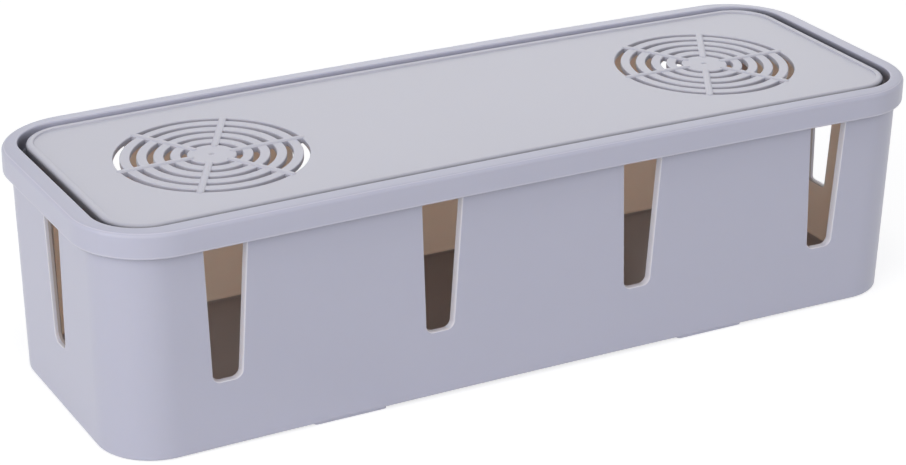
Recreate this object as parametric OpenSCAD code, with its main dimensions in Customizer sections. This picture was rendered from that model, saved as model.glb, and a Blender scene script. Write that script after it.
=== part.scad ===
// Cable management box: an open tray with cable slots, and a vented lid that lifts off.
// Units are millimetres. The origin is on the table, under the middle of the box.
// X runs along the length, Y from the front wall to the back wall, and Z is up.

/* [Tray] */
// Length of the tray over its rim
rim_l = 320; // [260:1:400]
// Width of the tray over its rim
rim_w = 113; // [100:1:160]
// Height of the tray above its feet
tray_h = 82.4; // [60:0.2:120]
// Radius of the rim's corners, seen from above
rim_r = 27; // [22:0.5:32]
// Radius of the wall's corners at the top, seen from above
wall_r = 20.5; // [18:0.5:22]
// Thickness of the walls
wall_t = 2.6; // [1.8:0.1:3.2]
// Thickness of the floor
floor_t = 2.4; // [1.6:0.1:4]
// Lean of the walls, in degrees, so that the tray narrows downwards
wall_draft = 1.2; // [0.4:0.1:1.6]

/* [Rim] */
// How far the rim stands out from the wall
rim_overhang = 3.6; // [3:0.1:5]
// Height of the band that hangs down around the rim
band_h = 9.1; // [6:0.1:14]
// Thickness of the hanging band
band_t = 2.0; // [1.2:0.1:2.2]
// Thickness of the flat top that joins the band to the wall
rim_top_t = 2.4; // [1.6:0.1:4]

/* [Cable slots] */
// Spacing of the four slots along each long wall
slot_pitch = 77.8; // [40:0.2:80]
// Width of a slot at its upper end
slot_top_w = 15.2; // [10:0.1:20]
// Width of a slot near its lower end
slot_low_w = 10.2; // [8.6:0.1:12]
// How much narrower the slot in each end wall is
end_slot_less = 1; // [0:0.1:3]
// Height of a slot's lower end above the tray's underside
slot_sill = 24.2; // [10:0.2:40]
// Radius of a slot's two lower corners
slot_r = 3.2; // [1:0.1:4]

/* [Lid rests] */
// Radius of the round post in each corner that carries the lid
post_r = 4.5; // [3.5:0.1:6]
// How far each post bites into the corner of the wall
post_bite = 0.5; // [0.3:0.1:0.6]
// Thickness of the rib in the middle of each long wall
rib_t = 2.4; // [1.6:0.1:4]
// How far each rib reaches in from the top of the wall
rib_reach = 5.6; // [5:0.1:9]

/* [Feet] */
// Length of a foot bar
foot_l = 27; // [12:0.5:60]
// Width of a foot bar
foot_w = 5; // [3:0.5:12]
// Height of a foot bar
foot_h = 1.1; // [0.8:0.1:4]
// Distance between the centres of the two bars along an edge
foot_spacing = 143.6; // [80:0.2:160]
// Distance from the edge of the underside to a foot bar
foot_inset = 0.8; // [0.4:0.1:3]

/* [Lid] */
// Gap between the lid and the inside of the rim
lid_gap = 2.2; // [0.6:0.1:3]
// How far the lid's raised edge lies below the top of the rim
lid_drop = 0.6; // [0:0.1:2]
// Thickness of the lid's plate
plate_t = 2.0; // [1.4:0.1:3]
// Height of the raised edge above the plate
lip_h = 0.6; // [0.4:0.1:1.6]
// Width of the raised edge
lip_w = 2.6; // [2:0.1:5]
// Thickness of the lid's downturned skirt
skirt_t = 2.0; // [1.4:0.1:3]
// Depth of the skirt below the top of the plate
skirt_h = 4.2; // [3.4:0.2:7]
// Clearance between the skirt and the posts that carry it
seat_gap = 0.2; // [0.1:0.05:0.4]

/* [Vents] */
// Distance between the centres of the two round vents
vent_spacing = 196.4; // [100:0.2:220]
// Radius of the solid disc in the middle of a vent
disc_r = 8.3; // [5:0.1:10]
// Width of each ring-shaped gap
gap_w = 2.16; // [1.5:0.02:3]
// Width of each ring between the gaps
ring_w = 3.45; // [1.6:0.05:4]
// Number of ring-shaped gaps in a vent
gap_count = 5; // [2:1:5]
// Number of spokes that hold the rings
spoke_count = 6; // [3:1:8]
// Width of a spoke
spoke_w = 2.6; // [1.6:0.1:4]
// How far a spoke stands up from the plate
spoke_rise = 0.3; // [0.1:0.1:0.6]
// How far a spoke runs onto the plate past the outer gap
spoke_run = 1.2; // [0.5:0.1:3]

/* [Hidden] */
$fn = 96;
// Spare length of a cut past the surface that it goes through
cut_past = 1;

// How far a wall moves in for each millimetre of depth
lean = tan(wall_draft);

// Heights
floor_z = foot_h + floor_t;
rim_z = foot_h + tray_h;
band_z = rim_z - band_h;
sill_z = foot_h + slot_sill;
lip_z = rim_z - lid_drop;
plate_z = lip_z - lip_h;
skirt_z = plate_z - skirt_h;
post_z = skirt_z - seat_gap;

// Outside of the wall at the top, and the fixed centres of its corners
wall_l = rim_l - 2 * rim_overhang;
wall_w = rim_w - 2 * rim_overhang;
corner_x = wall_l / 2 - wall_r;
corner_y = wall_w / 2 - wall_r;

// Outside of the wall at the underside
base_in = lean * tray_h;
base_w = wall_w - 2 * base_in;

// Inside of the wall at the top, which the lid drops into
mouth_l = wall_l - 2 * wall_t;
mouth_w = wall_w - 2 * wall_t;
mouth_r = wall_r - wall_t;

// Outside of the lid
lid_l = mouth_l - 2 * lid_gap;
lid_w = mouth_w - 2 * lid_gap;
lid_r = mouth_r - lid_gap;

slot_rows = [-1.5, -0.5, 0.5, 1.5];
both_sides = [-1, 1];
post_out = mouth_r + post_bite - post_r;
foot_y = base_w / 2 - foot_inset - foot_w / 2;
vent_x = vent_spacing / 2;
gap_pitch = gap_w + ring_w;
vent_r = disc_r + gap_count * gap_w + (gap_count - 1) * ring_w;

// Extrudes a flat shape, drawn across Y and Z, evenly both ways along X
module along_x(length) {
    rotate([90, 0, 90])
        linear_extrude(length, center = true)
            children();
}

// Extrudes a flat shape, drawn across X and Z, evenly both ways along Y
module along_y(length) {
    rotate([90, 0, 0])
        linear_extrude(length, center = true)
            children();
}

// Side view of a block with leaning sides, its full width at the top
module leaning_side(width, z_low, z_high, slope) {
    low = width / 2 - slope * (z_high - z_low);
    polygon([[-low, z_low], [low, z_low], [width / 2, z_high], [-width / 2, z_high]]);
}

// Block with round corners. Its size is given at the top and it shrinks
// downwards by the slope, with the corner centres staying where they are.
module round_block(length, width, radius, z_low, z_high, slope = 0) {
    cx = length / 2 - radius;
    cy = width / 2 - radius;
    height = z_high - z_low;
    for (sx = both_sides, sy = both_sides)
        translate([sx * cx, sy * cy, z_low])
            cylinder(h = height, r1 = radius - slope * height, r2 = radius);
    along_x(2 * cx)
        leaning_side(width, z_low, z_high, slope);
    along_y(2 * cy)
        leaning_side(length, z_low, z_high, slope);
}

// Outline of a slot: straight sides that close in downwards, and round lower corners
module slot_shape(less = 0) {
    top = (slot_top_w - less) / 2;
    low = (slot_low_w - less) / 2;
    side = atan((top - low) / (band_z - sill_z));
    cx = low - slot_r * (1 - sin(side)) / cos(side);
    turn = 90 - side;
    steps = 8;
    right = [for (i = [0:steps]) let (a = -90 + i * turn / steps)
        [cx + slot_r * cos(a), sill_z + slot_r * (1 + sin(a))]];
    left = [for (i = [steps:-1:0]) [-right[i][0], right[i][1]]];
    polygon(concat(right, [[top, band_z], [-top, band_z]], left));
}

// All the slots, cut straight through opposite walls
module slot_cuts() {
    for (row = slot_rows)
        translate([row * slot_pitch, 0, 0])
            along_y(rim_w)
                slot_shape();
    along_x(rim_l)
        slot_shape(end_slot_less);
}

// Rim: a flat top with a band hanging from it, open underneath like a gutter
module rim() {
    difference() {
        round_block(rim_l, rim_w, rim_r, band_z, rim_z);
        round_block(rim_l - 2 * band_t, rim_w - 2 * band_t, rim_r - band_t,
            band_z - cut_past, rim_z - rim_top_t);
    }
}

// Posts in the corners, and ribs in the middle, that carry the lid's skirt
module lid_rests() {
    along_corner = post_out * sqrt(0.5);
    for (sx = both_sides, sy = both_sides)
        translate([sx * (corner_x + along_corner), sy * (corner_y + along_corner), foot_h])
            cylinder(h = post_z - foot_h, r = post_r);
    rib_in = mouth_w / 2 - rib_reach;
    rib_out = base_w / 2 - wall_t / 2;
    upper_out = mouth_w / 2 + wall_t / 2 - base_in / 2;
    for (sy = both_sides)
        mirror([0, sy < 0 ? 1 : 0, 0])
            along_x(rib_t)
                polygon([[rib_in, foot_h], [rib_out, foot_h], [upper_out, post_z], [rib_in, post_z]]);
}

// Bars under the front and back edges
module feet() {
    for (sx = both_sides, sy = both_sides)
        translate([sx * foot_spacing / 2 - foot_l / 2, sy * foot_y - foot_w / 2, 0])
            cube([foot_l, foot_w, foot_h]);
}

// Tray in one moulding: walls, floor, rim, lid rests and feet
module box() {
    color([0.66, 0.66, 0.72]) {
        difference() {
            union() {
                round_block(wall_l, wall_w, wall_r, foot_h, rim_z, lean);
                rim();
            }
            round_block(mouth_l + 2 * lean * cut_past, mouth_w + 2 * lean * cut_past,
                mouth_r + lean * cut_past, floor_z, rim_z + cut_past, lean);
            slot_cuts();
        }
        lid_rests();
        feet();
    }
}

// Ring-shaped gaps of one vent, interrupted where the spokes cross them
module vent_cuts() {
    difference() {
        for (i = [0:gap_count - 1])
            translate([0, 0, skirt_z])
                difference() {
                    cylinder(h = lip_z - skirt_z, r = disc_r + i * gap_pitch + gap_w);
                    translate([0, 0, -cut_past])
                        cylinder(h = lip_z - skirt_z + 2 * cut_past, r = disc_r + i * gap_pitch);
                }
        spokes(skirt_z - cut_past, lip_z + cut_past, vent_r + cut_past);
    }
}

// Bars from the middle of a vent outwards, with the first one along X
module spokes(z_low, z_high, reach) {
    for (i = [0:spoke_count - 1])
        rotate([0, 0, i * 360 / spoke_count])
            translate([0, -spoke_w / 2, z_low])
                cube([reach, spoke_w, z_high - z_low]);
}

// Raised tops of the spokes, which stop at the middle disc
module spoke_tops() {
    difference() {
        spokes(plate_z - plate_t / 2, plate_z + spoke_rise, vent_r + spoke_run);
        translate([0, 0, plate_z - plate_t])
            cylinder(h = 2 * plate_t, r = disc_r - gap_w / 2);
    }
}

// Lid in one moulding: plate, raised edge, skirt and two round vents
module lid() {
    color([0.74, 0.74, 0.79]) {
        difference() {
            round_block(lid_l, lid_w, lid_r, skirt_z, lip_z);
            round_block(lid_l - 2 * lip_w, lid_w - 2 * lip_w, lid_r - lip_w,
                plate_z, lip_z + cut_past);
            round_block(lid_l - 2 * skirt_t, lid_w - 2 * skirt_t, lid_r - skirt_t,
                skirt_z - cut_past, plate_z - plate_t);
            for (sx = both_sides)
                translate([sx * vent_x, 0, 0])
                    vent_cuts();
        }
        for (sx = both_sides)
            translate([sx * vent_x, 0, 0])
                spoke_tops();
    }
}

box();
lid();
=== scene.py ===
# %% [markdown]
# # A cable management box
#
# The real object is two plastic mouldings: a long open tray with cable slots
# in its walls, and a vented lid that drops inside the tray's rim. The packed
# model is loaded first, because it is the fixed frame: every piece made below
# takes its place and size from it, and moves with one of its bodies.

# %% Load the frame
import math

import bmesh
import bpy
from mathutils import Matrix, Vector


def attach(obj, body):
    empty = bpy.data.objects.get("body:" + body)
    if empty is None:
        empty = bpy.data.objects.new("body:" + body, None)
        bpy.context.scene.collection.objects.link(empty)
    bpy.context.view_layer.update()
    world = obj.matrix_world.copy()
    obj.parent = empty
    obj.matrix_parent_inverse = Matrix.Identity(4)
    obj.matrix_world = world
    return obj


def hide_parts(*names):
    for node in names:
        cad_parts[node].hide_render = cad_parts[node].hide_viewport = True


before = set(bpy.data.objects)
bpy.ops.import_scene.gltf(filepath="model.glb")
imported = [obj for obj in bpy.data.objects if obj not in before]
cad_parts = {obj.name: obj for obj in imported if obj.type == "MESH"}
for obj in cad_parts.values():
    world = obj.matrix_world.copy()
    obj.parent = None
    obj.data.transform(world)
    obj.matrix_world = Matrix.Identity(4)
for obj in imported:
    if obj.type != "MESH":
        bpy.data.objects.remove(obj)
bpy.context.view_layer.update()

MM = 0.001

# %% [markdown]
# ## The camera
#
# The photograph was taken from the front left, a little above the lid, with a
# long lens. A camera is fully described by the point that it aims at, the
# direction back to it, its distance, its tilt and its lens. These numbers were
# found by matching the box's edges, so they are written down as they are, and
# the camera's own axes are worked out from them.

# %% Camera
lens_mm, sensor_mm = 102.475, 36
azimuth, elevation, tilt = (math.radians(a) for a in (-28.563, 23.431, 0.503))
camera_distance = 936.24 * MM
aim = Vector((0.85, 13.07, 28.52)) * MM

back = Vector((math.sin(azimuth) * math.cos(elevation),
               -math.cos(azimuth) * math.cos(elevation),
               math.sin(elevation)))
level = Vector((0, 0, 1)).cross(back).normalized()
upright = back.cross(level)
right = level * math.cos(tilt) + upright * math.sin(tilt)
up = upright * math.cos(tilt) - level * math.sin(tilt)

camera_data = bpy.data.cameras.new("photo_camera")
camera_data.lens = lens_mm
camera_data.sensor_width = sensor_mm
camera_data.clip_start, camera_data.clip_end = 0.05, 50
camera = bpy.data.objects.new("photo_camera", camera_data)
turn = Matrix((right, up, back)).transposed()
camera.matrix_world = Matrix.Translation(aim + back * camera_distance) @ turn.to_4x4()
bpy.context.scene.collection.objects.link(camera)
bpy.context.scene.camera = camera
print("camera at mm", [round(v / MM) for v in camera.location])

# %% [markdown]
# ## Sizes of the two mouldings
#
# Every size is named once, in millimetres, and the pieces are drawn from these
# names. The walls lean inwards on their way down, so that the tray leaves its
# mould, and the helper `lean_in` says how far at each height.

# %% Sizes
rim_l, rim_w, rim_r = 320.0, 113.0, 27.5
foot_h, tray_h = 1.1, 82.4
wall_t, floor_t, rim_overhang = 2.6, 2.4, 3.6
band_h, band_t, rim_top_t = 9.1, 2.0, 2.4
rim_z = foot_h + tray_h
band_z = rim_z - band_h
floor_z = foot_h + floor_t
wall_l, wall_w, wall_r = rim_l - 2 * rim_overhang, rim_w - 2 * rim_overhang, 20.7
draft = math.tan(math.radians(1.2))


def lean_in(z):
    """How far the wall has moved in at height z."""
    return draft * (rim_z - z)


lid_gap, lid_drop, lip_h, lip_w = 2.2, 0.6, 0.6, 2.6
plate_t, skirt_t, skirt_h = 2.0, 2.0, 4.2
lid_l = wall_l - 2 * wall_t - 2 * lid_gap
lid_w = wall_w - 2 * wall_t - 2 * lid_gap
lid_r = 15.7
lid_in_left, lid_to_back = 0.8, 0.5
lip_z = rim_z - lid_drop
plate_z = lip_z - lip_h
skirt_z = plate_z - skirt_h
print("rim at", rim_z, "mm, lid", round(lid_l, 1), "x", round(lid_w, 1), "mm")

# %% [markdown]
# ## Tools for drawing a moulding
#
# A moulding like this is a stack of rounded rectangles. Each loop below is one
# such outline, and `skin` joins one loop to the next with four-sided faces.
# Because every loop has the same number of points, the corners stay smooth,
# and small fillets are just a few loops close together. A boolean cut could
# make the same holes, but its edges would have no such neat rounding.

# %% Outlines
ARC_STEPS, CIRCLE_STEPS = 20, 96


def round_outline(half_x, half_y, radius, z, steps=ARC_STEPS):
    """Points of a rounded rectangle, anticlockwise, starting at the +X +Y corner."""
    points = []
    for quarter, (sx, sy) in enumerate(((1, 1), (-1, 1), (-1, -1), (1, -1))):
        for i in range(steps + 1):
            a = math.radians(90 * quarter + 90 * i / steps)
            points.append((sx * (half_x - radius) + radius * math.cos(a),
                           sy * (half_y - radius) + radius * math.sin(a), z))
    return points


def circle(cx, radius, z):
    """Points of a circle round the point (cx, 0), anticlockwise."""
    turns = [2 * math.pi * i / CIRCLE_STEPS for i in range(CIRCLE_STEPS)]
    return [(cx + radius * math.cos(a), radius * math.sin(a), z) for a in turns]


def fillet(radius, start, end, count=5):
    """Offsets along a rounded edge, from angle start to angle end in degrees."""
    for i in range(count + 1):
        a = math.radians(start + (end - start) * i / count)
        yield radius * math.cos(a), radius * math.sin(a)


# %% Faces between outlines
def add_loop(bm, points):
    """New vertices at these points, in millimetres."""
    return [bm.verts.new(Vector(p) * MM) for p in points]


def skin(bm, loops, leave_out=()):
    """Four-sided faces between neighbouring loops. leave_out holds (band, side) pairs that stay open."""
    for band, (low, high) in enumerate(zip(loops, loops[1:])):
        n = len(low)
        for i in range(n):
            if (band, i) in leave_out:
                continue
            j = (i + 1) % n
            bm.faces.new((low[i], low[j], high[j], high[i]))


def edges_of(bm, loop):
    """The edges along a closed loop, made where they are missing."""
    found = []
    for a, b in zip(loop, loop[1:] + loop[:1]):
        found.append(bm.edges.get((a, b)) or bm.edges.new((a, b)))
    return found


def fill(bm, loops, normal):
    """Flat face between an outer loop and the holes in it."""
    edges = [e for loop in loops for e in edges_of(bm, loop)]
    bmesh.ops.triangle_fill(bm, edges=edges, use_beauty=True, normal=normal)


def cap_ends(bm, loops):
    """Closes a stack of outlines at both ends."""
    bm.faces.new(loops[0])
    bm.faces.new(loops[-1])


print("outline helpers ready,", 4 * (ARC_STEPS + 1), "points per outline")

# %% [markdown]
# ## From loops to a finished piece
#
# A long thin moulding bows a little as it cools: the middle of every long edge
# stands about a millimetre higher than its ends, which the photograph shows.
# The finished mesh is sliced across its length every few millimetres, so that
# it can follow that bow, and its normals are weighted by area, so that flat
# walls stay flat beside their small fillets. A moulding is one solid, so the
# small forms are fused into their shell before that, and a face's finish is
# chosen by where the face lies in the moulding.

# %% Join the forms of a piece
weld_within = 0.0004


def object_from(bm, name):
    """Turns a drawn mesh into an object, with its faces looking outwards."""
    bmesh.ops.remove_doubles(bm, verts=bm.verts, dist=weld_within * MM)
    bmesh.ops.recalc_face_normals(bm, faces=bm.faces)
    mesh = bpy.data.meshes.new(name)
    bm.to_mesh(mesh)
    bm.free()
    thing = bpy.data.objects.new(name, mesh)
    bpy.context.scene.collection.objects.link(thing)
    return thing


def fused(shell_bm, extras_bm, name):
    """One closed mesh from a shell and the small forms sunk into it, as a moulding is one solid."""
    shell, extras = object_from(shell_bm, name), object_from(extras_bm, name + "_extras")
    union = shell.modifiers.new("union", "BOOLEAN")
    union.operation, union.solver, union.object = "UNION", "MANIFOLD", extras
    whole = bmesh.new()
    whole.from_object(shell, bpy.context.evaluated_depsgraph_get())
    for thing in (shell, extras):
        mesh = thing.data
        bpy.data.objects.remove(thing)
        bpy.data.meshes.remove(mesh)
    open_edges = sum(1 for e in whole.edges if len(e.link_faces) != 2)
    print(name, "fused:", len(whole.faces), "faces,", open_edges, "open edges")
    return whole


# %% Where each finish goes
OUTER, INNER, LIT_EDGE, SHADED, HIGHLIGHT = 0, 1, 2, 3, 4
LID_SHADED_SIDE = 2
gap_depth, side_reach, skin_slack = 7.0, 1.3, 0.03
cut_low, cut_high = foot_h + 20, band_z + 0.6
inner_from, floor_low, floor_high = 0.6 * wall_t, floor_z - 1.2, floor_z + 0.8
band_foot_high = band_z + 0.8
rim_edge_low, rim_edge_high = rim_z - 0.47, rim_z - 0.3
lid_under_high, lid_under_in = plate_z - 1.3, 0.6


def depth_in(c, half_x, half_y, radius):
    """How far a point lies inside a rounded rectangle, seen from above. Negative outside it."""
    qx, qy = abs(c.x) - half_x + radius, abs(c.y) - half_y + radius
    return radius - math.hypot(max(qx, 0), max(qy, 0)) - min(max(qx, qy), 0)


def tray_finish(c):
    """Which finish the tray has at a point, in millimetres."""
    in_wall = depth_in(c, wall_l / 2 - lean_in(c.z), wall_w / 2 - lean_in(c.z), wall_r)
    in_rim = depth_in(c, rim_l / 2, rim_w / 2, rim_r)
    # Slot cut faces: paler painted light on the front ones and on the outer halves, painted shade on the
    # inner halves.
    if skin_slack < in_wall < wall_t - skin_slack and cut_low < c.z < cut_high:
        is_front = c.y < 0 and abs(c.x) < wall_l / 2 - wall_r
        return LIT_EDGE if is_front or in_wall < wall_t / 2 else SHADED
    # Inside, below the gap: painted shade on the floor, a warm brown of painted light on the walls.
    if in_wall > inner_from and floor_low < c.z < rim_z - gap_depth:
        return SHADED if c.z < floor_high else INNER
    # A painted highlight along the band's lower edge and the rim's outer edge.
    on_band_foot = in_wall < 0 and in_rim < band_t and c.z < band_foot_high
    on_rim_edge = in_rim < side_reach and rim_edge_low < c.z < rim_edge_high
    return HIGHLIGHT if on_band_foot or on_rim_edge else OUTER


def lid_finish(c):
    """Which finish the lid has at a point, in millimetres."""
    c = c - Vector((lid_in_left / 2, lid_to_back, 0))
    in_lid = depth_in(c, (lid_l - lid_in_left) / 2, lid_w / 2, lid_r)
    # The underside takes the inside's warm brown, which is painted light.
    if c.z < lid_under_high and in_lid > lid_under_in:
        return INNER
    # Near its outer edge the lid takes a shaded copy of its plastic, with more painted shade.
    return LID_SHADED_SIDE if in_lid < side_reach else OUTER


print("inner finish from", floor_low, "to", rim_z - gap_depth, "mm")

# %% Slice, bow and finish a piece
bow, slice_step, cut_slack, sharp_angle = 1.15, 8.0, 0.0001, 40


def finish_piece(bm, name, body, node, finishes, finish_at):
    """Slices, bows and shades the mesh, then hangs it on its body in place of its node."""
    reach = rim_l / 2
    x = -reach + slice_step / 2
    while x < reach:
        bmesh.ops.bisect_plane(bm, geom=bm.verts[:] + bm.edges[:] + bm.faces[:],
                               plane_co=(x * MM, 0, 0), plane_no=(1, 0, 0), dist=cut_slack * MM)
        x += slice_step
    for v in bm.verts:
        share = min(1.0, v.co.z / MM / foot_h)
        v.co.z -= bow * MM * share * (v.co.x / MM / reach) ** 2
    piece = object_from(bm, name)
    mesh = piece.data
    mesh.shade_smooth()
    mesh.set_sharp_from_angle(angle=math.radians(sharp_angle))
    flat_walls = piece.modifiers.new("flat_walls", "WEIGHTED_NORMAL")
    flat_walls.keep_sharp = True
    for finish in finishes:
        mesh.materials.append(finish)
    for face in mesh.polygons:
        c = face.center / MM
        c.z += bow * (c.x / reach) ** 2
        face.material_index = finish_at(c)
    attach(piece, body)
    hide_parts(node)
    print(name, len(mesh.vertices), "points,", len(mesh.polygons), "faces")


# %% [markdown]
# ## Moulded plastic
#
# The plastic is a satin lilac grey. Under the light it is nearly even, with a
# very fine grain from the mould, faint clouding where the melt flowed, and a
# soft sheen. Inside the box it looks brown, because light that comes through
# the thin walls is warmer: red travels furthest, which is what subsurface
# scattering does, and the inner faces are also given a warm brown, which is
# painted light. Thin cut faces and edges are given a paler colour, which is
# painted light, and the floor and the inner halves of the back and end cut faces
# a duller brown, which is painted shade.
# Hardly any light reaches into a gap of two millimetres, so shade is also
# painted into the colour where other faces stand close. An image could hold all
# this, but it would fit only one box, while nodes follow the shape.

# %% Painted shade in narrow gaps
gap_reach, gap_rays = 5.0, 8
gap_shut, gap_open, gap_shade = 0.25, 0.9, 0.15
table_low, table_high = 6.0, 12.0
rear_start, rear_end = 42.0, 50.0


def ramp(nodes, low, high, to_low=0.0, to_high=1.0):
    """A node that maps low..high to to_low..to_high and holds still outside."""
    node = nodes.new("ShaderNodeMapRange")
    for socket, value in (("From Min", low), ("From Max", high), ("To Min", to_low), ("To Max", to_high)):
        node.inputs[socket].default_value = value
    return node


def painted_gap_shade(nodes, links, place, colour, shade_share):
    """Colour with shade painted in where other faces stand close, not by the table or in the lit rear gap.
    """
    air = nodes.new("ShaderNodeAmbientOcclusion")
    air.samples = gap_rays
    air.inputs["Distance"].default_value = gap_reach * MM
    narrow = ramp(nodes, gap_shut, gap_open, gap_shade, 1.0)
    spot = nodes.new("ShaderNodeSeparateXYZ")
    above_table = ramp(nodes, table_low * MM, table_high * MM)
    before_rear = ramp(nodes, rear_end * MM, rear_start * MM, 0.0, shade_share)
    amount = nodes.new("ShaderNodeMath")
    amount.operation = "MULTIPLY"
    darken = nodes.new("ShaderNodeMix")
    darken.data_type, darken.blend_type = "RGBA", "MULTIPLY"
    links.new(air.outputs["AO"], narrow.inputs["Value"])
    links.new(place.outputs["Object"], spot.inputs["Vector"])
    links.new(spot.outputs["Z"], above_table.inputs["Value"])
    links.new(spot.outputs["Y"], before_rear.inputs["Value"])
    links.new(above_table.outputs["Result"], amount.inputs[0])
    links.new(before_rear.outputs["Result"], amount.inputs[1])
    links.new(amount.outputs[0], darken.inputs["Factor"])
    links.new(colour, darken.inputs["A"])
    links.new(narrow.outputs["Result"], darken.inputs["B"])
    return darken.outputs["Result"]


# %% Plastic material
cloud_scale, cloud_detail, cloud_depth = 9, 3, 0.025
grain_scale, grain_detail, grain_height, grain_strength = 1400, 2, 0.06, 0.12
rough_low, rough_high, refraction = 0.28, 0.38, 1.46


def noise(nodes, links, place, scale, detail):
    """Noise that is fixed to the piece."""
    texture = nodes.new("ShaderNodeTexNoise")
    texture.inputs["Scale"].default_value = scale
    texture.inputs["Detail"].default_value = detail
    links.new(place.outputs["Object"], texture.inputs["Vector"])
    return texture.outputs["Fac"]


def moulded_plastic(name, base, glow=0.2, glow_depth=1.5, glow_colour=(1.0, 0.8, 0.6), shade_share=0.0):
    """Satin plastic of colour base. The share glow of its light travels some glow_depth mm inside
    it, and the last argument says how much shade is painted into its narrow gaps."""
    material = bpy.data.materials.new(name)
    material.use_nodes = True
    nodes, links = material.node_tree.nodes, material.node_tree.links
    shader = nodes["Principled BSDF"]
    place = nodes.new("ShaderNodeTexCoord")

    clouds = noise(nodes, links, place, cloud_scale, cloud_detail)
    tint = nodes.new("ShaderNodeMix")
    tint.data_type = "RGBA"
    tint.inputs["A"].default_value = (*(c * (1 - cloud_depth) for c in base), 1)
    tint.inputs["B"].default_value = (*(min(1, c * (1 + cloud_depth)) for c in base), 1)
    links.new(clouds, tint.inputs["Factor"])
    colour = tint.outputs["Result"]
    if shade_share > 0:
        colour = painted_gap_shade(nodes, links, place, colour, shade_share)
    links.new(colour, shader.inputs["Base Color"])

    grain = noise(nodes, links, place, grain_scale, grain_detail)
    rough = ramp(nodes, 0.0, 1.0, rough_low, rough_high)
    bump = nodes.new("ShaderNodeBump")
    bump.inputs["Strength"].default_value = grain_strength
    bump.inputs["Distance"].default_value = grain_height * MM
    links.new(grain, rough.inputs["Value"])
    links.new(rough.outputs["Result"], shader.inputs["Roughness"])
    links.new(grain, bump.inputs["Height"])
    links.new(bump.outputs["Normal"], shader.inputs["Normal"])

    shader.inputs["Subsurface Weight"].default_value = glow
    shader.inputs["Subsurface Radius"].default_value = glow_colour
    shader.inputs["Subsurface Scale"].default_value = glow_depth * MM
    shader.inputs["IOR"].default_value = refraction
    print("material", name)
    return material


# %% The seven finishes, with painted light and shade
# The lid's colour is a little lighter than the tray's, a painted sheen for the reflection on its top.
lid_colour_with_sheen = (0.59, 0.585, 0.665)
warm_light = (1.0, 0.72, 0.62)
# The last number paints shade into narrow gaps: fully on the tray and the lid's side, lightly on the lid.
tray_plastic = moulded_plastic("tray_plastic", (0.56, 0.56, 0.675), shade_share=1.0)
lid_plastic = moulded_plastic("lid_plastic", lid_colour_with_sheen, shade_share=0.15)
# A shaded copy of the lid plastic for its side in the gap, darker by painted shade.
lid_side_shaded_plastic = moulded_plastic("lid_side_shaded_plastic", lid_colour_with_sheen, shade_share=1.0)
# A paler colour, a painted highlight on the rim's and the band's edges.
highlight_plastic = moulded_plastic("highlight_plastic", (0.66, 0.65, 0.76))
# A warm brown that paints in the warm light coming through the walls; the scattering itself is real.
inner_warm_lit_plastic = moulded_plastic("inner_warm_lit_plastic", (0.84, 0.69, 0.615), 1.0, 13, warm_light)
# A paler colour, painted light on the thin cut faces of the slots.
lit_edge_plastic = moulded_plastic("lit_edge_plastic", (0.78, 0.76, 0.82))
shaded_plastic = moulded_plastic("shaded_plastic", (0.54, 0.475, 0.455), glow=0.0)

# %% [markdown]
# ## The tray's shell
#
# Seen in section, one wall of the tray runs from the underside round a small
# fillet, up the leaning outside, into the hollow gutter under the rim, down
# and round the hanging band, over the flat top of the rim and down the inside
# to the floor. The section is swept round the tray as a stack of outlines.

# %% Tray outlines
def wall_loop(bm, out, z):
    """Outline that lies `out` beyond the outside of the leaning wall at height z."""
    shift = out - lean_in(z)
    return add_loop(bm, round_outline(wall_l / 2 + shift, wall_w / 2 + shift, wall_r + out, z))


def rim_loop(bm, inset, z):
    """Outline that lies `inset` inside the outside of the rim."""
    return add_loop(bm, round_outline(rim_l / 2 - inset, rim_w / 2 - inset, rim_r - inset, z))


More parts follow.
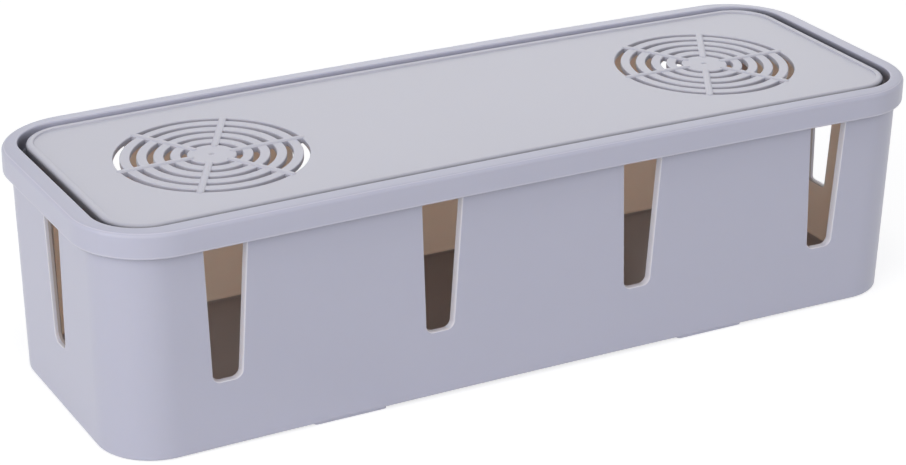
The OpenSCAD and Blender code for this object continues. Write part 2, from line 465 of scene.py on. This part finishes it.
def tray_shell(bm):
    """The swept section. Returns the loops that bound the walls' outer and inner faces."""
    foot_edge, band_edge, top_edge, mouth_edge, floor_edge = 1.0, 0.9, 1.5, 0.45, 1.6
    band_in_edge, gutter_edge, gutter_mid = 0.5, 0.4, 0.12
    support, flat_support, rim_fall, rim_start, top_turn = 0.7, 0.4, 0.2, 0.05, 84
    loops = [wall_loop(bm, -foot_edge - support, foot_h)]
    for out, up_by in fillet(foot_edge, -90, 0):
        loops.append(wall_loop(bm, out - foot_edge, foot_h + foot_edge + up_by))
    outer_low = len(loops) - 1
    gutter_z = rim_z - rim_top_t
    loops.append(wall_loop(bm, 0, gutter_z - gutter_edge))
    loops.append(wall_loop(bm, gutter_mid, gutter_z - gutter_mid))
    loops.append(wall_loop(bm, gutter_edge, gutter_z))
    loops.append(rim_loop(bm, band_t + gutter_edge, gutter_z))
    loops.append(rim_loop(bm, band_t + gutter_mid, gutter_z - gutter_mid))
    loops.append(rim_loop(bm, band_t, gutter_z - gutter_edge))
    for out, up_by in fillet(band_in_edge, 180, 270, 3):
        loops.append(rim_loop(bm, band_t - band_in_edge - out, band_z + band_in_edge + up_by))
    for out, up_by in fillet(band_edge, -90, 0):
        loops.append(rim_loop(bm, band_edge - out, band_z + band_edge + up_by))
    loops.append(rim_loop(bm, 0, band_z + band_edge + support))
    loops.append(rim_loop(bm, 0, rim_z - rim_fall - top_edge - support))
    for out, up_by in fillet(top_edge, 0, top_turn, 6):
        loops.append(rim_loop(bm, top_edge - out, rim_z - rim_fall - top_edge + up_by))
    loops.append(rim_loop(bm, top_edge + flat_support, rim_z - rim_fall + rim_start))
    loops.append(wall_loop(bm, -wall_t + mouth_edge + flat_support, rim_z))
    for out, up_by in fillet(mouth_edge, 90, 180, 4):
        loops.append(wall_loop(bm, -wall_t + mouth_edge + out, rim_z - mouth_edge + up_by))
    loops.append(wall_loop(bm, -wall_t, rim_z - mouth_edge - support))
    loops.append(wall_loop(bm, -wall_t, rim_z - gap_depth))
    inner_high = len(loops) - 1
    for out, up_by in fillet(floor_edge, 0, -90):
        loops.append(wall_loop(bm, -wall_t - floor_edge + out, floor_z + floor_edge + up_by))
    loops.append(wall_loop(bm, -wall_t - floor_edge - support, floor_z))
    # A flat side runs from the last point of one corner to the first point of the next.
    sides = [ARC_STEPS, 2 * ARC_STEPS + 1, 3 * ARC_STEPS + 2, 4 * ARC_STEPS + 3]
    open_walls = {(band, side) for band in (outer_low, inner_high) for side in sides}
    skin(bm, loops, open_walls)
    fill(bm, [loops[0]], (0, 0, -1))
    fill(bm, [loops[-1]], (0, 0, 1))
    outer = (loops[outer_low], loops[outer_low + 1])
    inner = (loops[inner_high + 1], loops[inner_high])
    return outer, inner, sides


# %% [markdown]
# ## Cable slots
#
# Ten slots let cables out: four in each long wall and one in each end. A slot
# is wide at the top, narrows downwards and ends in two small round corners.
# Each slot is a short tunnel of outlines through the wall, with a rounded edge
# on both faces, and the wall's flat face is then filled in around the tunnels.
# The front slots also close a little on their way in, as their pale cut faces
# show. The left end's slot is a little narrower and off the middle, and the
# right end's has sharper lower corners.

# %% Slot tunnels
slot_pitch, slot_top_w, slot_low_w = 77.8, 15.2, 10.2
sill_z, slot_r, slot_edge = foot_h + 24.2, 2.8, 0.45
front_slot_close = 0.5
left_slot_less, left_slot_y, right_slot_r = 1.0, -1.0, 1.2


def slot_outline(grow, less, r):
    """Points (along, z) of a slot with corners of radius r, `less` narrower, then grown by `grow`."""
    top, low = (slot_top_w - less) / 2 + grow, (slot_low_w - less) / 2 + grow
    sill, r = sill_z - grow, r + grow
    side = math.atan((top - low) / (band_z - sill))
    cx = low - r * (1 - math.sin(side)) / math.cos(side)
    steps = 8
    right = []
    for i in range(steps + 1):
        a = -math.pi / 2 + i * (math.pi / 2 - side) / steps
        right.append((cx + r * math.cos(a), sill + r * (1 + math.sin(a))))
    right.append((top, band_z + grow))
    return right + [(-s, z) for s, z in reversed(right)]


def slot_tunnel(bm, wall_point, less, close, r):
    """Tunnel through a wall, with its two end loops returned. wall_point(along, z, depth) places a point."""
    rings = []
    for across, up_by in fillet(slot_edge, 0, 90, 4):
        rings.append((slot_edge - up_by, slot_edge - across))
    rings.append((0.0, wall_t / 2))
    for across, up_by in fillet(slot_edge, 0, 90, 4):
        rings.append((slot_edge - across, wall_t - slot_edge + up_by))
    loops = []
    for grow, depth in rings:
        outline = slot_outline(grow, less + 2 * close * depth / wall_t, r)
        loops.append([bm.verts.new(wall_point(s, z, depth) * MM) for s, z in outline])
    skin(bm, loops)
    return loops[0], loops[-1]


# %% [markdown]
# The four flat walls differ only in where they stand and which way they face,
# so one function places a point on any of them: so far along the wall, so
# high, and so deep into it.

# %% Walls with their slots
def wall_places():
    """Each flat side, in the outlines' order: its normal, its slots' places along it and a function
    for its points, then how much narrower its slots are, how far they close and their radius."""
    def back_or_front(sy):
        return lambda x0: lambda s, z, d: Vector((x0 + s, sy * (wall_w / 2 - lean_in(z) - d), z))

    def end(sx):
        return lambda y0: lambda s, z, d: Vector((sx * (wall_l / 2 - lean_in(z) - d), y0 + s, z))

    rows = [slot_pitch * k for k in (-1.5, -0.5, 0.5, 1.5)]
    return [((0, 1, 0), rows, back_or_front(1), 0.0, 0.0, slot_r),
            ((-1, 0, 0), [left_slot_y], end(-1), left_slot_less, 0.0, slot_r),
            ((0, -1, 0), rows, back_or_front(-1), 0.0, front_slot_close, slot_r),
            ((1, 0, 0), [0.0], end(1), 0.0, 0.0, right_slot_r)]


def tray_walls(bm, outer, inner, sides):
    """Fills the open flat walls, leaving the slots."""
    for (normal, rows, place, *form), side in zip(wall_places(), sides):
        tunnels = [slot_tunnel(bm, place(row), *form) for row in rows]
        for end_no, (low, high) in enumerate((outer, inner)):
            j = (side + 1) % len(low)
            frame_loop = [low[side], low[j], high[j], high[side]]
            holes = [tunnel[end_no] for tunnel in tunnels]
            fill(bm, [frame_loop] + holes, normal)


tray = bmesh.new()
outer, inner, sides = tray_shell(tray)
tray_walls(tray, outer, inner, sides)
print("tray shell", len(tray.faces), "faces")

# %% [markdown]
# ## Lid rests and feet
#
# Round posts in the corners and a short rib in the middle of each long wall
# carry the lid, and four low bars under the front and back edges keep the tray
# off the table. Each is its own small stack of outlines, sunk a little into
# the shell that it belongs to.

# %% Posts, ribs and feet
smallest_r = 0.05


def rounded_block(bm, half_x, half_y, radius, z_low, z_high, edge, place, top=True, steps=6):
    """Upright block with round corners and one rounded end. place(point) moves each point."""
    loops = []
    rises = [(z_low if top else z_high, 0.0)]
    for out, up_by in fillet(edge, 0, 90, 4):
        z = z_high - edge + up_by if top else z_low + edge - up_by
        rises.append((z, edge - out))
    for z, inset in rises:
        points = round_outline(half_x - inset, half_y - inset, max(radius - inset, smallest_r), z, steps)
        loops.append(add_loop(bm, [place(p) for p in points]))
    skin(bm, loops)
    cap_ends(bm, loops)


rests = bmesh.new()
rest_low, rest_high = foot_h + 1.2, skirt_z - 0.2
post_r, post_x, post_y, post_edge = 4.5, 145.73, 42.23, 0.5
for sx in (-1, 1):
    for sy in (-1, 1):
        def lean_with_corner(p, sx=sx, sy=sy):
            """Stands a point in its corner, a millimetre further in at the table."""
            slip = (rest_high - p[2]) / rest_high
            return (p[0] + sx * (post_x - slip), p[1] + sy * (post_y - slip), p[2])
        rounded_block(rests, post_r, post_r, post_r, rest_low, rest_high, post_edge,
                      lean_with_corner, steps=10)

rib_t, rib_in, rib_out, rib_edge = 2.4, 44.7, 50.8, 0.4
for sy in (-1, 1):
    rib_mid = sy * (rib_in + rib_out) / 2
    rounded_block(rests, rib_t / 2, (rib_out - rib_in) / 2, rib_edge, rest_low, rest_high, rib_edge,
                  lambda p, m=rib_mid: (p[0], p[1] + m, p[2]))

foot_l, foot_w, foot_x, foot_y = 27.0, 5.0, 71.8, 47.87
foot_r, foot_high, sole_edge = 1.2, foot_h + 1.0, 0.35
for sx in (-1, 1):
    for sy in (-1, 1):
        rounded_block(rests, foot_l / 2, foot_w / 2, foot_r, 0.0, foot_high, sole_edge,
                      lambda p, x=sx * foot_x, y=sy * foot_y: (p[0] + x, p[1] + y, p[2]), top=False)

finish_piece(fused(tray, rests, "tray"), "tray", "box", "box",
             (tray_plastic, inner_warm_lit_plastic, lit_edge_plastic, shaded_plastic, highlight_plastic), tray_finish)

# %% [markdown]
# ## The lid
#
# The lid is a flat plate with a thin raised edge all round and a shallow skirt
# under it. Its section is swept like the tray's. The plate's top and underside
# are flat faces with two round holes, where the vents go. A loose lid never
# lies quite in the middle: the gap is wider at the left end and at the front.

# %% Lid shell
vent_x = 98.2
disc_r, gap_w, ring_w, gap_count = 8.3, 2.16, 3.45, 5
vent_r = disc_r + gap_count * gap_w + (gap_count - 1) * ring_w
vent_edge, under_edge, vent_support = 0.35, 0.3, 0.5
under_z = plate_z - plate_t


def lid_loop(bm, inset, z):
    """Outline that lies `inset` inside the outside of the lid."""
    points = round_outline((lid_l - lid_in_left) / 2 - inset, lid_w / 2 - inset, lid_r - inset, z)
    return add_loop(bm, [(x + lid_in_left / 2, y + lid_to_back, z) for x, y, z in points])


def lid_shell(bm):
    """The lid's swept section, its plate and the rounded rims of its two vent holes."""
    corner, foot_in_edge, foot_out_edge = 0.4, 0.3, 0.5
    lid_edge, lip_in_edge, lip_foot_edge = 1.3, 0.3, 0.25
    support, side_support = 1.0, 2.0
    loops = [lid_loop(bm, skirt_t + support, under_z), lid_loop(bm, skirt_t + corner, under_z),
             lid_loop(bm, skirt_t, under_z - corner)]
    for out, up_by in fillet(foot_in_edge, 180, 270, 3):
        loops.append(lid_loop(bm, skirt_t - foot_in_edge - out, skirt_z + foot_in_edge + up_by))
    for out, up_by in fillet(foot_out_edge, -90, 0, 4):
        loops.append(lid_loop(bm, foot_out_edge - out, skirt_z + foot_out_edge + up_by))
    loops.append(lid_loop(bm, 0, lip_z - side_support))
    for out, up_by in fillet(lid_edge, 0, 90, 8):
        loops.append(lid_loop(bm, lid_edge - out, lip_z - lid_edge + up_by))
    for out, up_by in fillet(lip_in_edge, 90, 180, 4):
        loops.append(lid_loop(bm, lip_w - lip_in_edge - out, lip_z - lip_in_edge + up_by))
    for out, up_by in fillet(lip_foot_edge, 0, -90, 4):
        loops.append(lid_loop(bm, lip_w + lip_foot_edge - out, plate_z + lip_foot_edge + up_by))
    loops.append(lid_loop(bm, lip_w + support, plate_z))
    skin(bm, loops)
    tops, bottoms = [], []
    for sx in (-1, 1):
        hole = [circle(sx * vent_x, vent_r + vent_edge + vent_support, plate_z)]
        for out, up_by in fillet(vent_edge, 90, 180, 5):
            hole.append(circle(sx * vent_x, vent_r + vent_edge + out, plate_z - vent_edge + up_by))
        for out, up_by in fillet(under_edge, 180, 270, 3):
            hole.append(circle(sx * vent_x, vent_r + under_edge + out, under_z + under_edge + up_by))
        hole_loops = [add_loop(bm, points) for points in hole]
        skin(bm, hole_loops)
        tops.append(hole_loops[0])
        bottoms.append(hole_loops[-1])
    fill(bm, [loops[-1]] + tops, (0, 0, 1))
    fill(bm, [loops[0]] + bottoms, (0, 0, -1))


lid = bmesh.new()
lid_shell(lid)
print("lid shell", len(lid.faces), "faces, vent radius", round(vent_r, 2), "mm")

# %% [markdown]
# ## The vents
#
# Each vent is a small disc with four rings round it, carried by six spokes that
# stand a hair above the plate and run slightly onto it. The rings are rounded
# bars bent into circles, so each is a closed section swept round the middle.
# Ring-shaped cuts in a plate would make them too, but with sharp edges. The
# disc has the tiny dimple that a mould's gate leaves.

# %% Rings and disc
dimple = ((0.25, 0.38), (0.6, 0.3), (0.85, 0.08), (1.05, 0.0), (1.6, 0.0))


def vent_ring(bm, cx, inner_r, outer_r):
    """One ring: a bar with a rounded top, bent into a circle."""
    loops = []
    for out, up_by in fillet(vent_edge, 180, 90, 4):
        loops.append(circle(cx, inner_r + vent_edge + out, plate_z - vent_edge + up_by))
    for out, up_by in fillet(vent_edge, 90, 0, 4):
        loops.append(circle(cx, outer_r - vent_edge + out, plate_z - vent_edge + up_by))
    for out, up_by in fillet(under_edge, 0, -90, 2):
        loops.append(circle(cx, outer_r - under_edge + out, under_z + under_edge + up_by))
    for out, up_by in fillet(under_edge, -90, -180, 2):
        loops.append(circle(cx, inner_r + under_edge + out, under_z + under_edge + up_by))
    rings = [add_loop(bm, points) for points in loops]
    skin(bm, rings + rings[:1])


def vent_disc(bm, cx):
    """The middle disc with its gate dimple."""
    profile = [(r, plate_z - depth) for r, depth in dimple]
    profile.append((disc_r - vent_edge - vent_support, plate_z))
    for out, up_by in fillet(vent_edge, 90, 0, 5):
        profile.append((disc_r - vent_edge + out, plate_z - vent_edge + up_by))
    for out, up_by in fillet(under_edge, 0, -90, 2):
        profile.append((disc_r - under_edge + out, under_z + under_edge + up_by))
    loops = [add_loop(bm, circle(cx, r, z)) for r, z in profile]
    skin(bm, loops)
    cap_ends(bm, loops)


# %% Spokes
spoke_count, spoke_w, spoke_rise, spoke_run, spoke_start = 6, 2.6, 0.35, 1.2, 6.4
spoke_in, crown_in, crown_turn, end_share = 0.12, 0.1, 75, 0.999


def vent_spoke(bm, cx, angle):
    """One spoke, with a crowned top and a round outer end."""
    reach = vent_r + spoke_run
    half, mid = (reach - spoke_start) / 2, (reach + spoke_start) / 2
    spin = Matrix.Rotation(math.radians(angle), 4, "Z")
    stack = [(0.0, under_z + spoke_in), (0.0, plate_z - spoke_in)]
    for out, up_by in fillet(1.0, 0, crown_turn):
        stack.append(((1 - out) * spoke_w / 2, plate_z - crown_in + up_by * (spoke_rise + crown_in)))
    loops = []
    for inset, z in stack:
        r = max(spoke_w / 2 - inset, smallest_r)
        flat = [Vector((x + mid, y, 0)) for x, y, _ in round_outline(half - inset, r, r * end_share, z, 6)]
        loops.append(add_loop(bm, [spin @ p + Vector((cx, 0, z)) for p in flat]))
    skin(bm, loops)
    cap_ends(bm, loops)


spokes = bmesh.new()
for sx in (-1, 1):
    vent_disc(lid, sx * vent_x)
    for i in range(1, gap_count):
        ring_in = disc_r + i * gap_w + (i - 1) * ring_w
        vent_ring(lid, sx * vent_x, ring_in, ring_in + ring_w)
    for k in range(spoke_count):
        vent_spoke(spokes, sx * vent_x, 360 * k / spoke_count)

finish_piece(fused(lid, spokes, "lid_cover"), "lid_cover", "lid", "lid",
             (lid_plastic, inner_warm_lit_plastic, lid_side_shaded_plastic), lid_finish)

# %% [markdown]
# ## Table and light
#
# The box stands in a plain white studio. The floor and the world have one look
# for rays that the camera or a reflection sends, which is white, and another
# for the light that they give, which is plain and even. The floor keeps a soft
# contact shadow either way. More lamps would also whiten the background, but
# they would wash out the box. A wide lamp on the left lights the near end, one
# at the front the long wall, one behind lifts the far end, and a small one
# above gives the edges their thin highlights, which a painted highlight
# strengthens along the rim's outer edge and the band's lower edge.

# %% Two looks, by kind of ray
def where_seen(nodes, links, hidden, seen):
    """The shader `seen` for rays from the camera or a reflection, and `hidden` for all others."""
    path = nodes.new("ShaderNodeLightPath")
    share = path.outputs["Is Camera Ray"]
    for ray in ("Is Glossy Ray", "Is Transmission Ray"):
        either = nodes.new("ShaderNodeMath")
        either.operation = "MAXIMUM"
        links.new(share, either.inputs[0])
        links.new(path.outputs[ray], either.inputs[1])
        share = either.outputs[0]
    mix = nodes.new("ShaderNodeMixShader")
    links.new(share, mix.inputs["Fac"])
    links.new(hidden.outputs[0], mix.inputs[1])
    links.new(seen.outputs[0], mix.inputs[2])
    return mix.outputs[0]


# %% Floor
floor_half, floor_colour, seen_colour, seen_glow = 6.0, 0.72, 0.45, 0.72


def studio_floor():
    """Wide floor that glows so far towards white, where it is seen, that only shadows show."""
    material = bpy.data.materials.new("studio_floor")
    material.use_nodes = True
    nodes, links = material.node_tree.nodes, material.node_tree.links
    nodes.remove(nodes["Principled BSDF"])
    plain = nodes.new("ShaderNodeBsdfDiffuse")
    plain.inputs["Color"].default_value = (floor_colour, floor_colour, floor_colour, 1)
    shade = nodes.new("ShaderNodeBsdfDiffuse")
    shade.inputs["Color"].default_value = (seen_colour, seen_colour, seen_colour, 1)
    glow = nodes.new("ShaderNodeEmission")
    glow.inputs["Strength"].default_value = seen_glow
    both = nodes.new("ShaderNodeAddShader")
    links.new(shade.outputs[0], both.inputs[0])
    links.new(glow.outputs[0], both.inputs[1])
    links.new(where_seen(nodes, links, plain, both), nodes["Material Output"].inputs["Surface"])
    bm = bmesh.new()
    corners = [(sx * floor_half, sy * floor_half, 0) for sx, sy in ((-1, -1), (1, -1), (1, 1), (-1, 1))]
    bm.faces.new([bm.verts.new(p) for p in corners])
    mesh = bpy.data.meshes.new("studio_floor")
    bm.to_mesh(mesh)
    bm.free()
    mesh.materials.append(material)
    floor = bpy.data.objects.new("studio_floor", mesh)
    bpy.context.scene.collection.objects.link(floor)


studio_floor()
print("floor ready")

# %% World
world = bpy.data.worlds.new("studio")
bpy.context.scene.world = world
world.use_nodes = True
nodes, links = world.node_tree.nodes, world.node_tree.links
sky = nodes["Background"]
sky.inputs["Color"].default_value = (0.96, 0.97, 1.0, 1)
sky.inputs["Strength"].default_value = 0.44
white = nodes.new("ShaderNodeBackground")
white.inputs["Strength"].default_value = 1.0
links.new(where_seen(nodes, links, sky, white), nodes["World Output"].inputs["Surface"])
print("world ready")


# %% Lamps
def soft_lamp(name, place, aim_at, size, power):
    """A wide square lamp that faces a point. Lengths are in metres, and its power in watts."""
    data = bpy.data.lights.new(name, "AREA")
    data.size, data.energy = size, power
    lamp = bpy.data.objects.new(name, data)
    lamp.location = place
    lamp.rotation_mode = "QUATERNION"
    lamp.rotation_quaternion = (Vector(aim_at) - Vector(place)).to_track_quat("-Z", "Y")
    bpy.context.scene.collection.objects.link(lamp)


soft_lamp("left_lamp", (-1.25, -0.5, 0.65), aim_at=(0, 0, 0.05), size=1.2, power=7.6)
soft_lamp("back_lamp", (0.75, 1.4, 0.6), aim_at=(0, 0, 0.08), size=1.0, power=2.6)
soft_lamp("top_lamp", (-0.1, -0.35, 1.5), aim_at=(0, 0, 0.05), size=0.5, power=2.9)
soft_lamp("front_lamp", (-0.6, -1.6, 0.5), aim_at=(-0.1, 0, 0.05), size=1.0, power=4.2)
bpy.context.scene.view_settings.view_transform = "Standard"
print("lamps ready")
